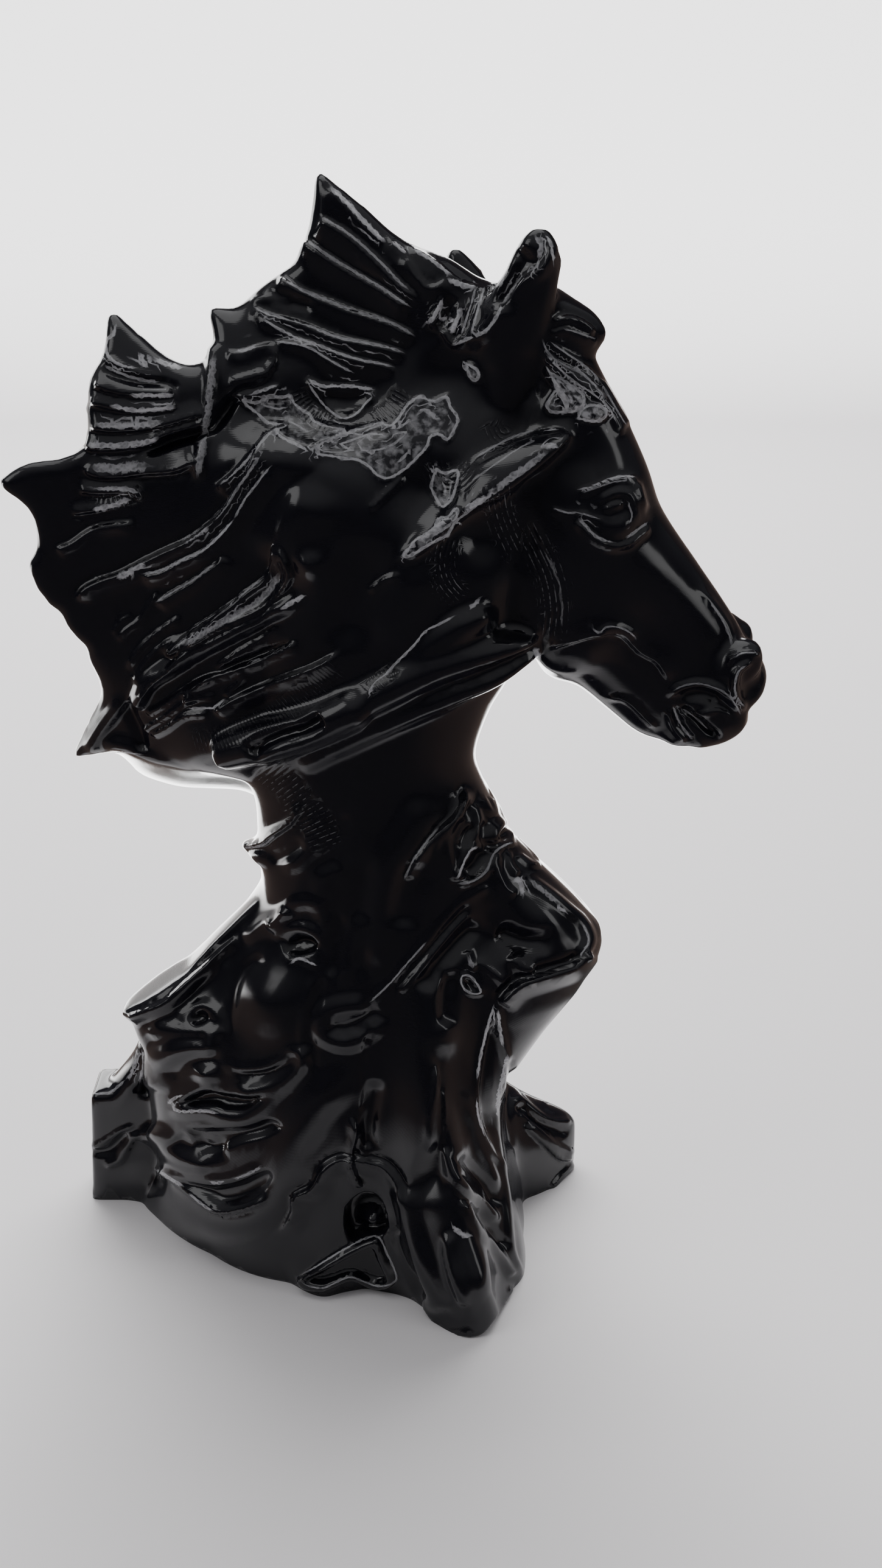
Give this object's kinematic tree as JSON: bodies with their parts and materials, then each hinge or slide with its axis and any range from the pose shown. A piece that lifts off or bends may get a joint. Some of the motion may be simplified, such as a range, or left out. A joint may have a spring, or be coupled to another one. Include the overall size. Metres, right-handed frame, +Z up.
{
  "type": "horse head sculpture",
  "caption": "Free-standing decorative horse head and neck with a wind-blown mane, on a drapery base with a flat foot",
  "frame": {"origin": "on the plane of the foot, under the middle of the bounding box", "axes": "+Z up, +X the way the horse looks, +Y to the horse's left"},
  "size_m": [0.1392, 0.0784, 0.2145],
  "materials": {
    "gloss_black": "gloss"
  },
  "bodies": {
    "root": {"horse_head_sculpture": "gloss_black"}
  },
  "joints": []
}
